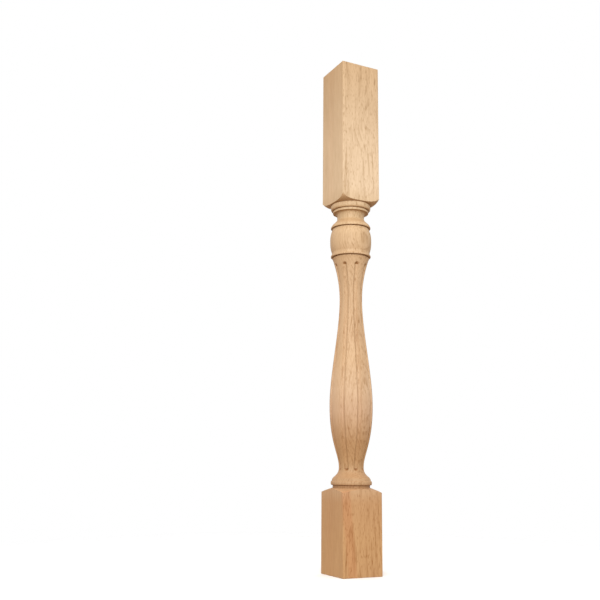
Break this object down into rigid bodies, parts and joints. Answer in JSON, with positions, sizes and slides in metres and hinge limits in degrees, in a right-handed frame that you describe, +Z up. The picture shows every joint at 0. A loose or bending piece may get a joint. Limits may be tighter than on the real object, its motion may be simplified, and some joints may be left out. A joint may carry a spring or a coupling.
{
  "type": "fluted bar column",
  "caption": "Turned and fluted wooden column with square blocks at both ends, standing upright under a bar top or counter as a decorative support.",
  "frame": {"origin": "middle of the lower block's square underside", "axes": "+Z up the column's turning axis; X and Y square to the faces of the two square blocks"},
  "size_m": [0.0888, 0.0888, 1.0668],
  "materials": {
    "wood": "bare pale hardwood, sanded and unfinished"
  },
  "bodies": {
    "root": {"fluted_bar_column": "wood"}
  },
  "joints": []
}
